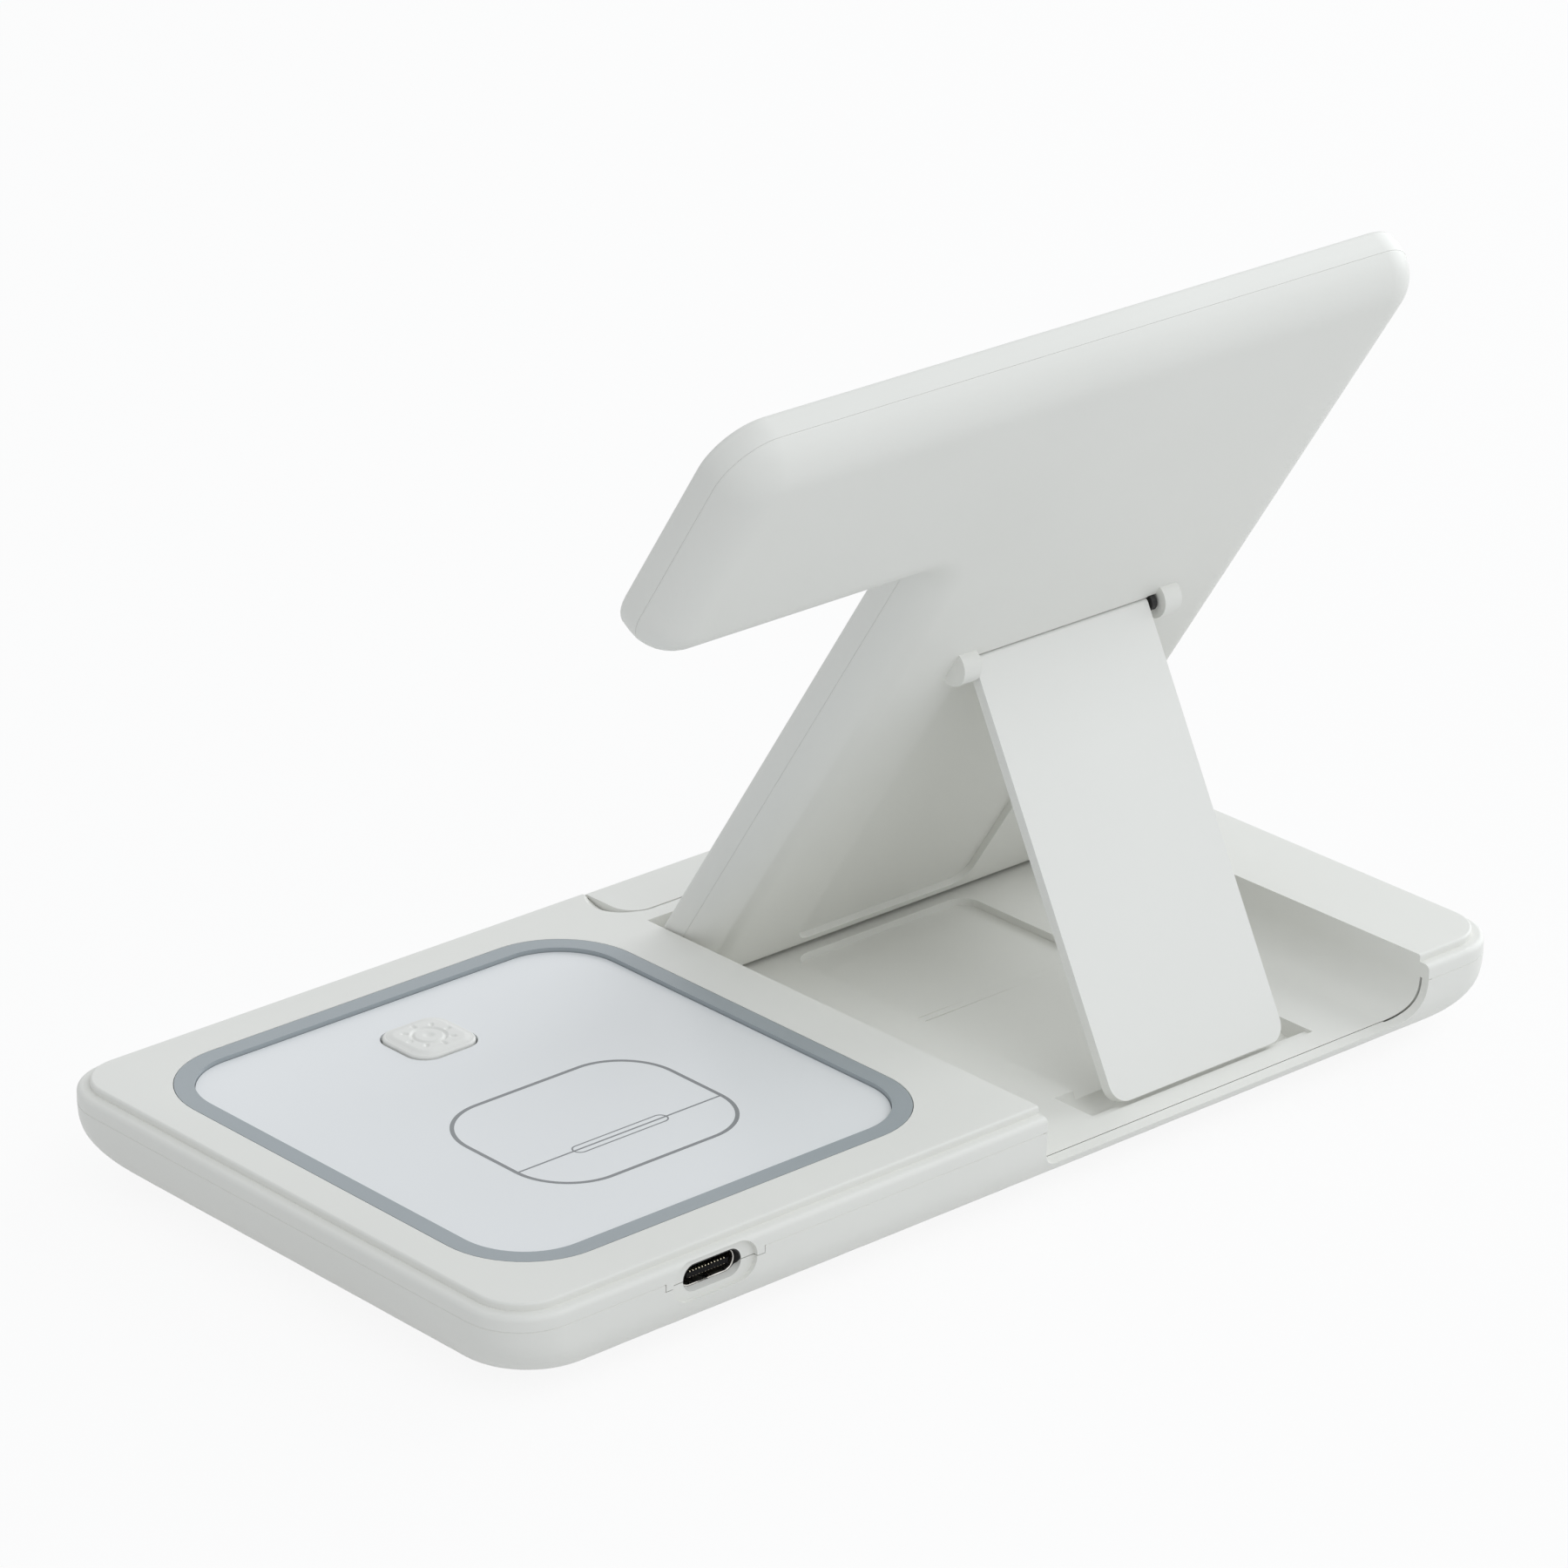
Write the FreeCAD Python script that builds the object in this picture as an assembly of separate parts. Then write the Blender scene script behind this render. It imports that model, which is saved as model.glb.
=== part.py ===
import FreeCAD, Part
import os
from math import acos, cos, radians, sin, sqrt, tan

os.makedirs("parts", exist_ok=True)

# Foldable wireless charging station, in millimetres. The origin is under the middle of the base,
# on the surface it stands on. +X runs along the base, +Y towards the phone, +Z up.

# Base
plateau_length = 168.9
plateau_width = 86.2
plateau_corner = 6.4
step_height = 1.0
shoulder_width = 1.7
shoulder_round = 0.8
plateau_round = 0.35
parting_depth = 3.1
parting_notch = 0.15
base_depth = 13.0
foot_height = 0.6
side_curve_inset = 14.3
side_curve_power = 3.5
end_curve_inset = 10.4
end_curve_power = 2.1
tub_turns = (0, 15, 30, 42, 53, 63, 72, 80, 86, 90)
underside_corner = 16.7
shell_wall = 1.2
shell_floor = 1.3
cover_wall = 1.8
cover_side_wall = 1.6

# Tray for the folding panel
tray_width = 69.4
tray_right_margin = 13.8
tray_far_margin = 12.2
tray_left_round = 2.5
tray_right_round = 5.0
tray_skin = 1.2
tray_seam = 0.4
hinge_bay_round = 0.5
hinge_bay_gap = 0.6

# Folding panel, measured from its hinge axis
panel_thickness = 8.0
panel_floor_gap = 0.3
panel_side_gap = 0.4
panel_end_gap = 0.64
panel_lean = 32.6
panel_reach = 120.1
flag_height = 38.1
flag_length = 116.7
flag_corner = 7.2
flag_low_corner = 7.3
inner_corner = 3.0
back_round = 6.0
front_round = 0.8
front_cover_depth = 3.5
seam_notch = 0.18
seam_notch_height = 0.2
front_wall = 1.6
front_side_wall = 1.8
back_side_wall = 3.2
back_wall = 1.6
back_solid_start = 6.0
deep_start_gap = 2.0
hinge_pin_radius = 1.5
hinge_pin_grip = 4.0
hinge_pin_reach = 7.0
hinge_pin_end_gap = 0.3
hinge_boss_radius = 3.2
pin_fit = 0.02
pin_run = 0.05

# Kickstand
kick_axis_margin = 26.2
kick_axis_sink = 0.1
kick_thickness = 1.5
kick_width = 31.1
kick_offset = -0.3
kick_short = 0.6
kick_corner = 2.6
kick_lean = 27.87
kick_pin_radius = 0.4
kick_pin_skin = 0.8
lug_radius = 2.5
lug_width = 3.0
lug_left_gap = 0.3
lug_right_gap = 1.5
washer_radius = 1.2
washer_thickness = 0.9
recess_gap = 0.3
floor_recess_depth = 1.05
floor_line_run = 27.66
floor_line_spacing = 1.3
floor_line_width = 0.3
floor_line_depth = 0.15
floor_line_margin = 0.9
foot_seat_gap = 0.3
foot_slot_room = 1.55
lug_pocket_radius = 3.3
lug_pocket_depth = 2.45
lug_pocket_skin = 0.7

# Earbud pad with light ring and button
ring_tray_gap = 8.5
ring_corner = 12.0
ring_band = 2.6
ring_left = 5.5
ring_far = 6.3
ring_near = 6.6
ring_flange = 0.9
ring_flange_height = 1.0
ring_ledge = 2.0
pad_sink = 0.6
pad_gap = 0.1
button_length = 10.3
button_width = 9.8
button_corner = 2.8
button_gap = 0.3
button_in = 14.4
button_proud = 0.4
button_round = 0.35
button_flange = 0.9
button_flange_height = 0.6
button_flange_gap = 0.3
button_stem_radius = 1.6
button_stem_length = 0.5
button_travel = 0.35
plunger_gap = 0.05
led_board_thickness = 0.8
led_board_inset = 0.4

# Coils, boards and inlet
earbud_in = 27.3
coil_thickness = 1.0
ferrite_thickness = 0.8
earbud_coil_radius = 15.0
earbud_coil_bore = 6.0
earbud_ferrite_side = 36.0
ferrite_corner = 2.0
phone_coil_drop = 39.75
phone_coil_radius = 22.0
phone_coil_bore = 10.0
phone_ferrite_radius = 25.0
watch_left = 23.1
watch_drop = 19.05
watch_coil_radius = 13.0
watch_coil_bore = 4.5
watch_disc_radius = 14.0
watch_disc_gap = 0.2
watch_disc_sink = 0.8
watch_disc_proud = 0.6
watch_disc_round = 0.5
board_thickness = 1.2
board_corner = 1.0
board_short = 9.7
board_narrow = 17.4
board_left = 9.4
board_near_gap = 1.3
board_screw_inset = 4.0
board_boss_radius = 2.5
screw_radius = 0.9
screw_hole_gap = 0.15
screw_length = 4.4
screw_end_gap = 0.3
screw_head_radius = 1.8
screw_head_height = 1.1
switch_side = 6.0
switch_height = 1.4
switch_corner = 0.4
plunger_radius = 1.7
panel_board_length = 40.0
panel_board_width = 14.0
panel_board_lift = 6.0
panel_board_thickness = 1.0
panel_board_corner = 0.8
inlet_left = 30.3
inlet_depth = 3.95
inlet_length = 8.94
inlet_height = 3.26
inlet_wall = 0.3
inlet_reach = 6.2
inlet_set_back = 0.15
inlet_hole_gap = 0.2
inlet_recess_length = 13.5
inlet_recess_height = 5.4
inlet_recess_depth = 0.7
inlet_tab_length = 15.8
inlet_tab_gap = 0.12
inlet_pad_wall = 1.2
inlet_pad_trim = 0.2
inlet_pad_margin = 0.6
tongue_length = 6.7
tongue_thickness = 0.7
tongue_reach = 5.2

# Phone stop flap
flap_gap = 0.3
flap_overlap = 0.65
flap_depth = 9.4
flap_thickness = 2.0
flap_corner = 3.6
flap_pin_radius = 0.5
flap_pin_grip = 2.5
flap_floor_skin = 1.2
scoop_length = 7.4
scoop_width = 1.7
scoop_depth = 1.0
scoop_in = 5.0

# Feet
foot_radius = 4.5
foot_sink = 0.5
foot_round = 0.3
foot_end_margin = 29.1
foot_side_margin = 23.1

plateau_z = base_depth + foot_height
side_length = plateau_length + 2 * shoulder_width
side_width = plateau_width + 2 * shoulder_width
side_corner = plateau_corner + shoulder_width
parting_z = plateau_z - parting_depth
shoulder_z = plateau_z - step_height
bottom_z = foot_height
tray_depth = panel_thickness + panel_floor_gap
tray_floor_z = plateau_z - tray_depth
tray_right = plateau_length / 2 - tray_right_margin
tray_left = tray_right - tray_width
tray_centre = (tray_left + tray_right) / 2
tray_far = plateau_width / 2 - tray_far_margin
hinge_radius = panel_thickness / 2
hinge_y = tray_far - panel_end_gap - hinge_radius
hinge_z = plateau_z - hinge_radius
near_y = -side_width / 2
far_y = side_width / 2
outside = 20.0


def vec(x, y, z):
    return FreeCAD.Vector(x, y, z)


def rounded_polygon(points, radii, z):
    starts = []
    ends = []
    arcs = []
    for i in range(len(points)):
        p = vec(points[i][0], points[i][1], z)
        before = vec(points[i - 1][0], points[i - 1][1], z)
        after_point = points[(i + 1) % len(points)]
        after = vec(after_point[0], after_point[1], z)
        u = (before - p).normalize()
        v = (after - p).normalize()
        half = acos(max(-1.0, min(1.0, u.dot(v)))) / 2
        r = radii[i]
        if r <= 0:
            starts.append(p)
            ends.append(p)
            arcs.append(None)
            continue
        a = p + u * (r / tan(half))
        b = p + v * (r / tan(half))
        centre = p + (u + v).normalize() * (r / sin(half))
        mid = centre + (p - centre).normalize() * r
        starts.append(a)
        ends.append(b)
        arcs.append(Part.Arc(a, mid, b).toShape())
    edges = []
    for i in range(len(points)):
        if arcs[i] is not None:
            edges.append(arcs[i])
        nxt = starts[(i + 1) % len(points)]
        edges.append(Part.LineSegment(ends[i], nxt).toShape())
    return Part.Wire(edges)


def rounded_rectangle(cx, cy, length, width, corner, z):
    x0 = cx - length / 2
    x1 = cx + length / 2
    y0 = cy - width / 2
    y1 = cy + width / 2
    return rounded_polygon([(x0, y0), (x1, y0), (x1, y1), (x0, y1)], [corner] * 4, z)


def block(cx, cy, length, width, corner, z0, z1):
    wire = rounded_rectangle(cx, cy, length, width, corner, z0)
    return Part.Face(wire).extrude(vec(0, 0, z1 - z0))


def box(x0, x1, y0, y1, z0, z1):
    return Part.makeBox(x1 - x0, y1 - y0, z1 - z0, vec(x0, y0, z0))


def rod_x(radius, x0, x1, y, z):
    return Part.makeCylinder(radius, x1 - x0, vec(x0, y, z), vec(1, 0, 0))


def disc(radius, x, y, z0, z1):
    return Part.makeCylinder(radius, z1 - z0, vec(x, y, z0))


def flat_coil(radius, bore, x, y, z0, z1):
    return disc(radius, x, y, z0, z1).cut(disc(bore, x, y, z0 - 1, z1 + 1))


def edges_at(shape, z):
    found = []
    for edge in shape.Edges:
        bounds = edge.BoundBox
        if abs(bounds.ZMin - z) < 1e-4 and abs(bounds.ZMax - z) < 1e-4:
            found.append(edge)
    return found


# The tub narrows towards its flat underside: the ends turn under early, the long sides late.
def tub(wall, floor, seam):
    depth_total = base_depth - floor
    inset = wall + seam
    wires = []
    for turn in tub_turns:
        run = sin(radians(turn))
        dx = end_curve_inset * (1 - sqrt(1 - run ** end_curve_power))
        dy = side_curve_inset * (1 - sqrt(1 - run ** side_curve_power))
        corner = side_corner - inset + (underside_corner - side_corner) * dy / side_curve_inset
        depth = parting_depth + (depth_total - parting_depth) * run
        wires.append(rounded_rectangle(0, 0, side_length - 2 * (inset + dx), side_width - 2 * (inset + dy),
                                       corner, plateau_z - depth))
    return Part.makeLoft(wires, True, False, False, 3)


def tray_profile(grow, left_round, right_round, y0, y1):
    x0 = tray_left - grow
    x1 = tray_right + grow
    z0 = tray_floor_z - grow
    z1 = plateau_z + outside
    wire = rounded_polygon([(x0, z0), (x1, z0), (x1, z1), (x0, z1)],
                           [left_round + grow, right_round + grow, 0, 0], 0)
    face = Part.Face(wire)
    face.rotate(vec(0, 0, 0), vec(1, 0, 0), 90)
    face.translate(vec(0, y1, 0))
    return face.extrude(vec(0, y0 - y1, 0))


# Panel pieces are drawn folded flat, hinge axis at the origin, reach along -Y and front up.
def stand_up(shape):
    shape.rotate(vec(0, 0, 0), vec(1, 0, 0), panel_lean - 90)
    shape.translate(vec(0, hinge_y, hinge_z))
    return shape


flag_bottom = panel_reach - flag_height
kick_axis_height = plateau_width - kick_axis_margin
kick_length = kick_axis_height - kick_short
stem_left = tray_left + panel_side_gap
stem_right = tray_right - panel_side_gap
flag_left = stem_right - flag_length


def panel_outline(inset, end, z):
    points = [(stem_left + inset, end), (stem_right - inset, end),
              (stem_right - inset, -panel_reach + inset), (flag_left + inset, -panel_reach + inset),
              (flag_left + inset, -flag_bottom - inset), (stem_left + inset, -flag_bottom - inset)]
    points.reverse()
    radii = [inner_corner + inset, flag_low_corner - inset, flag_corner - inset, flag_corner - inset, 0, 0]
    return rounded_polygon(points, radii, z)


def panel_slab(inset, end, z0, z1):
    return Part.Face(panel_outline(inset, end, z0)).extrude(vec(0, 0, z1 - z0))


# Kickstand frame, with the panel folded flat
kick_axis_y = -kick_axis_height
kick_axis_z = -hinge_radius - kick_axis_sink
kick_left = tray_centre + kick_offset - kick_width / 2
kick_right = tray_centre + kick_offset + kick_width / 2
kick_end_y = kick_axis_y + kick_length
lug_left_in = kick_left - lug_left_gap
lug_left_out = lug_left_in - lug_width
lug_right_in = kick_right + lug_right_gap
lug_right_out = lug_right_in + lug_width
recess_left = kick_left - recess_gap
recess_right = kick_right + recess_gap
recess_end = kick_end_y + recess_gap
recess_top = kick_axis_y - kick_thickness / 2 - recess_gap
recess_z = kick_axis_z + kick_thickness / 2 + recess_gap
recess_corner = kick_corner + recess_gap
recess_middle = (recess_left + recess_right) / 2
recess_width = recess_right - recess_left

# Inner corner of the kickstand's foot, as it stands in the tray
lean_in = radians(panel_lean)
lean_out = radians(kick_lean)
kick_pivot_y = hinge_y - kick_axis_height * sin(lean_in) + kick_axis_z * cos(lean_in)
kick_pivot_z = hinge_z + kick_axis_height * cos(lean_in) + kick_axis_z * sin(lean_in)
foot_inner_y = kick_pivot_y - kick_length * sin(lean_out) + kick_thickness / 2 * cos(lean_out)
foot_inner_z = kick_pivot_z - kick_length * cos(lean_out) - kick_thickness / 2 * sin(lean_out)

# Pad centres
ring_length = tray_left - ring_tray_gap + plateau_length / 2 - ring_left
ring_width = plateau_width - ring_far - ring_near
ring_x = -plateau_length / 2 + ring_left + ring_length / 2
ring_y = plateau_width / 2 - ring_far - ring_width / 2
pad_length = ring_length - 2 * ring_band
pad_width = ring_width - 2 * ring_band
pad_corner = ring_corner - ring_band
pad_top = plateau_z - pad_sink
cover_under = plateau_z - cover_wall
button_y = ring_y + ring_width / 2 - button_in
earbud_y = ring_y - ring_width / 2 + earbud_in
inlet_x = -plateau_length / 2 + inlet_left
inlet_z = plateau_z - inlet_depth
board_top = inlet_z - inlet_height / 2
board_under = board_top - board_thickness
board_length = ring_length - board_short
board_width = plateau_width - board_narrow
board_x0 = -plateau_length / 2 + board_left
board_y0 = near_y + shell_wall + board_near_gap + inlet_pad_wall - inlet_recess_depth

# Flap frame
flap_left = tray_left - flap_overlap
flap_right = tray_right + flap_overlap
flap_axis_z = plateau_z - flap_thickness / 2
flap_far = plateau_width / 2
flap_near = flap_far - flap_depth
flap_axis_y = flap_far - flap_thickness / 2


def board_screw_places():
    x0 = board_x0 + board_screw_inset
    x1 = board_x0 + board_length - board_screw_inset
    y0 = board_y0 + board_screw_inset
    y1 = board_y0 + board_width - board_screw_inset
    return [(x0, y0), (x1, y0), (x0, y1), (x1, y1)]


def foot_places():
    foot_x = plateau_length / 2 - foot_end_margin
    foot_y = plateau_width / 2 - foot_side_margin
    return [(sx * foot_x, sy * foot_y) for sx in (-1, 1) for sy in (-1, 1)]


def inlet_slot(length, height, y0, y1):
    face = Part.Face(rounded_rectangle(inlet_x, inlet_z, length, height, height / 2 - 0.01, 0))
    face.rotate(vec(0, 0, 0), vec(1, 0, 0), 90)
    face.translate(vec(0, y1, 0))
    return face.extrude(vec(0, y0 - y1, 0))


def base_bottom_shell():
    shell = tub(0, 0, 0).cut(tub(shell_wall, shell_floor, 0))
    for x, y in board_screw_places():
        boss = disc(board_boss_radius, x, y, bottom_z, board_under)
        shell = shell.fuse(boss.common(tub(shell_wall / 2, shell_floor / 2, 0)))
    pad_in = near_y + shell_wall + inlet_pad_wall - inlet_pad_trim
    pad = box(inlet_x - inlet_tab_length / 2, inlet_x + inlet_tab_length / 2, near_y + shell_wall / 2, pad_in,
              inlet_z - inlet_recess_height / 2 - inlet_pad_margin, parting_z)
    shell = shell.fuse(pad)
    for x, y in board_screw_places():
        shell = shell.cut(disc(screw_radius + pin_fit, x, y, board_under - screw_length, board_under + 1))
    shell = shell.cut(tray_profile(0, tray_left_round, tray_right_round, near_y - outside,
                                   near_y + side_curve_inset))
    tab = box(inlet_x - inlet_tab_length / 2 - inlet_tab_gap, inlet_x + inlet_tab_length / 2 + inlet_tab_gap,
              near_y - 1, pad_in + 1, inlet_z - inlet_tab_gap, parting_z + 1)
    shell = shell.cut(tab)
    shell = shell.cut(inlet_slot(inlet_recess_length, inlet_recess_height,
                                 near_y - 1, near_y + inlet_recess_depth))
    shell = shell.cut(inlet_slot(inlet_length + 2 * inlet_hole_gap, inlet_height + 2 * inlet_hole_gap,
                                 near_y - 1, pad_in + 1))
    for x, y in foot_places():
        shell = shell.cut(disc(foot_radius + pin_run, x, y, bottom_z - 1, bottom_z + foot_sink))
    return shell


def base_top_cover():
    band = block(0, 0, side_length, side_width, side_corner, parting_z, shoulder_z)
    band = band.makeFillet(shoulder_round, edges_at(band, shoulder_z))
    band = band.makeChamfer(parting_notch, edges_at(band, parting_z))
    top = block(0, 0, plateau_length, plateau_width, plateau_corner, shoulder_z - shoulder_round, plateau_z)
    top = top.makeFillet(plateau_round, edges_at(top, plateau_z))
    lid = band.fuse(top)
    lid = lid.cut(block(0, 0, side_length - 2 * cover_side_wall, side_width - 2 * cover_side_wall,
                        side_corner - cover_side_wall, parting_z - 1, cover_under))
    # tray skin, cut back to the seam with the tub
    skin = tray_profile(tray_skin, tray_left_round, tray_right_round, near_y - 1, tray_far + tray_skin)
    bay_start = hinge_y - hinge_radius - hinge_bay_gap
    bay = tray_profile(tray_skin, hinge_bay_round, hinge_bay_round,
                       bay_start - tray_skin, tray_far + tray_skin)
    skin = skin.fuse(bay)
    skin = skin.common(box(-side_length, side_length, -side_width, side_width, bottom_z, cover_under + 0.2))
    deep = block(recess_middle, hinge_y + (recess_end + recess_top) / 2, recess_width + 2 * tray_skin,
                 recess_end - recess_top + 2 * tray_skin, recess_corner + tray_skin,
                 tray_floor_z - floor_recess_depth - tray_skin, tray_floor_z)
    pocket_y = hinge_y + kick_axis_y
    pocket_z = tray_floor_z - lug_pocket_depth + lug_pocket_radius
    pocket_left = lug_left_out - recess_gap
    pocket_right = lug_right_out + recess_gap
    trough_skin = rod_x(lug_pocket_radius + lug_pocket_skin, pocket_left - lug_pocket_skin,
                        pocket_right + lug_pocket_skin, pocket_y, pocket_z)
    trough_skin = trough_skin.common(box(-side_length, side_length, -side_width, side_width,
                                         bottom_z, tray_floor_z - 0.1))
    room = tub(shell_wall, shell_floor, tray_seam)
    room = room.fuse(block(0, 0, side_length - 2 * cover_side_wall, side_width - 2 * cover_side_wall,
                           side_corner - cover_side_wall, parting_z - 0.5, cover_under + 0.2))
    skin = skin.fuse([deep, trough_skin]).common(room)
    slab_skin = box(flap_left - 2 * flap_gap, flap_right + 2 * flap_gap,
                    tray_far, far_y - cover_side_wall + 0.1,
                    plateau_z - flap_thickness - flap_gap - flap_floor_skin, cover_under + 0.2)
    bosses = [rod_x(hinge_boss_radius, tray_left - hinge_pin_grip - tray_skin, tray_left, hinge_y, hinge_z),
              rod_x(hinge_boss_radius, tray_right, tray_right + hinge_pin_grip + tray_skin, hinge_y, hinge_z)]
    bosses = [b.common(box(-side_length, side_length, -side_width, side_width, bottom_z, cover_under + 0.2))
              for b in bosses]
    tab = box(inlet_x - inlet_tab_length / 2, inlet_x + inlet_tab_length / 2, near_y,
              near_y + cover_side_wall, inlet_z, parting_z + parting_notch + 0.2)
    lid = lid.fuse([skin, slab_skin, tab] + bosses)
    # hollows: tray, floor recess for the kickstand, lug troughs, pad window, flap bed
    lid = lid.cut(tray_profile(0, tray_left_round, tray_right_round, near_y - outside, tray_far))
    lid = lid.cut(tray_profile(0, hinge_bay_round, hinge_bay_round, bay_start, tray_far))
    lid = lid.cut(block(recess_middle, hinge_y + (recess_end + recess_top) / 2, recess_width,
                        recess_end - recess_top, recess_corner,
                        tray_floor_z - floor_recess_depth, tray_floor_z + 1))
    for shift in (0, floor_line_spacing):
        line_y = hinge_y - floor_line_run + shift
        lid = lid.cut(box(recess_left + floor_line_margin, recess_right - floor_line_margin,
                          line_y - floor_line_width / 2, line_y + floor_line_width / 2,
                          tray_floor_z - floor_recess_depth - floor_line_depth, tray_floor_z))
    trough = rod_x(lug_pocket_radius, pocket_left, pocket_right, pocket_y, pocket_z)
    lid = lid.cut(trough)
    lid = lid.cut(box(pocket_left, pocket_right, foot_inner_y - foot_slot_room, pocket_y,
                      foot_inner_z - foot_seat_gap, plateau_z))
    lid = lid.cut(block(ring_x, ring_y, ring_length + 2 * pad_gap, ring_width + 2 * pad_gap,
                        ring_corner + pad_gap, cover_under - 2, plateau_z + 1))
    bed_floor = plateau_z - flap_thickness - flap_gap
    bed_corner = flap_corner + flap_gap
    bed = rounded_polygon([(flap_left - flap_gap, flap_near - flap_gap),
                           (flap_right + flap_gap, flap_near - flap_gap),
                           (flap_right + flap_gap, flap_far + flap_gap),
                           (flap_left - flap_gap, flap_far + flap_gap)],
                          [bed_corner, bed_corner, 0, 0], bed_floor)
    lid = lid.cut(Part.Face(bed).extrude(vec(0, 0, plateau_z + 1 - bed_floor)))
    # fingernail scoop: a ball cut whose rim is an arc beside the flap's end
    rim = ((scoop_length / 2) ** 2 + scoop_width ** 2) / (2 * scoop_width)
    lift = (rim ** 2 - (rim - scoop_width) ** 2 - scoop_depth ** 2) / (2 * scoop_depth)
    ball = Part.makeSphere(sqrt(rim ** 2 + lift ** 2))
    ball.translate(vec(flap_left - flap_gap - scoop_width + rim, flap_near + scoop_in, plateau_z + lift))
    lid = lid.cut(ball)
    for x0, x1 in ((tray_left - hinge_pin_grip, tray_left + 1),
                   (tray_right - 1, tray_right + hinge_pin_grip)):
        lid = lid.cut(rod_x(hinge_pin_radius + pin_fit, x0, x1, hinge_y, hinge_z))
    lid = lid.cut(rod_x(flap_pin_radius + pin_fit, flap_left - flap_gap - flap_pin_grip,
                        flap_right + flap_gap + flap_pin_grip, flap_axis_y, flap_axis_z))
    lid = lid.cut(inlet_slot(inlet_recess_length, inlet_recess_height,
                             near_y - 1, near_y + inlet_recess_depth))
    lid = lid.cut(inlet_slot(inlet_length + 2 * inlet_hole_gap, inlet_height + 2 * inlet_hole_gap,
                             near_y - 1, near_y + cover_side_wall + 1))
    return lid


def light_ring():
    rim = block(ring_x, ring_y, ring_length, ring_width, ring_corner, cover_under, plateau_z)
    rim = rim.cut(block(ring_x, ring_y, pad_length, pad_width, pad_corner, cover_under - 1, plateau_z + 1))
    flange = block(ring_x, ring_y, ring_length + 2 * ring_flange, ring_width + 2 * ring_flange,
                   ring_corner + ring_flange, cover_under - ring_flange_height, cover_under)
    flange = flange.cut(block(ring_x, ring_y, pad_length - 2 * ring_ledge, pad_width - 2 * ring_ledge,
                              pad_corner - ring_ledge, cover_under - ring_flange_height - 1,
                              cover_under + 1))
    return rim.fuse(flange).removeSplitter()


def charging_panel():
    plate = block(ring_x, ring_y, pad_length - 2 * pad_gap, pad_width - 2 * pad_gap, pad_corner - pad_gap,
                  cover_under, pad_top)
    hole = block(ring_x, button_y, button_length + 2 * button_gap, button_width + 2 * button_gap,
                 button_corner + button_gap, cover_under - 1, pad_top + 1)
    return plate.cut(hole)


def led_board():
    top = cover_under - ring_flange_height
    reach = ring_flange - led_board_inset
    board = block(ring_x, ring_y, ring_length + 2 * reach, ring_width + 2 * reach, ring_corner + reach,
                  top - led_board_thickness, top)
    ledge = ring_ledge - led_board_inset
    return board.cut(block(ring_x, ring_y, pad_length - 2 * ledge, pad_width - 2 * ledge, pad_corner - ledge,
                           top - led_board_thickness - 1, top + 1))


button_flange_top = cover_under - button_flange_gap
button_flange_z = button_flange_top - button_flange_height
button_end_z = button_flange_z - button_stem_length


def light_button():
    cap = block(ring_x, button_y, button_length, button_width, button_corner, button_flange_top,
                pad_top + button_proud)
    cap = cap.makeFillet(button_round, edges_at(cap, pad_top + button_proud))
    flange = block(ring_x, button_y, button_length + 2 * button_flange, button_width + 2 * button_flange,
                   button_corner + button_flange, button_flange_z, button_flange_top)
    stem = disc(button_stem_radius, ring_x, button_y, button_end_z, button_flange_z)
    return cap.fuse([flange, stem]).removeSplitter()


def button_switch():
    body = block(ring_x, button_y, switch_side, switch_side, switch_corner,
                 board_top, board_top + switch_height)
    plunger = disc(plunger_radius, ring_x, button_y, board_top + switch_height,
                   button_end_z - button_travel - plunger_gap)
    return body.fuse(plunger)


def main_circuit_board():
    board = block(board_x0 + board_length / 2, board_y0 + board_width / 2, board_length, board_width,
                  board_corner, board_under, board_top)
    for x, y in board_screw_places():
        board = board.cut(disc(screw_radius + screw_hole_gap, x, y, board_under - 1, board_top + 1))
    return board


def board_screws():
    screws = []
    for x, y in board_screw_places():
        head = disc(screw_head_radius, x, y, board_top, board_top + screw_head_height)
        shank = disc(screw_radius, x, y, board_under - screw_length + screw_end_gap, board_top)
        screws.append(head.fuse(shank))
    return Part.makeCompound(screws)


def usb_c_shell():
    y0 = near_y + inlet_recess_depth + inlet_set_back
    shell = inlet_slot(inlet_length, inlet_height, y0, y0 + inlet_reach)
    return shell.cut(inlet_slot(inlet_length - 2 * inlet_wall, inlet_height - 2 * inlet_wall,
                                y0 - 1, y0 + inlet_reach - inlet_wall))


def usb_c_tongue():
    back = near_y + inlet_recess_depth + inlet_set_back + inlet_reach - inlet_wall
    return box(inlet_x - tongue_length / 2, inlet_x + tongue_length / 2, back - tongue_reach, back,
               inlet_z - tongue_thickness / 2, inlet_z + tongue_thickness / 2)


def earbud_coil():
    return flat_coil(earbud_coil_radius, earbud_coil_bore, ring_x, earbud_y,
                     cover_under - coil_thickness, cover_under)


def earbud_ferrite():
    top = cover_under - coil_thickness
    return block(ring_x, earbud_y, earbud_ferrite_side, earbud_ferrite_side, ferrite_corner,
                 top - ferrite_thickness, top)


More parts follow.
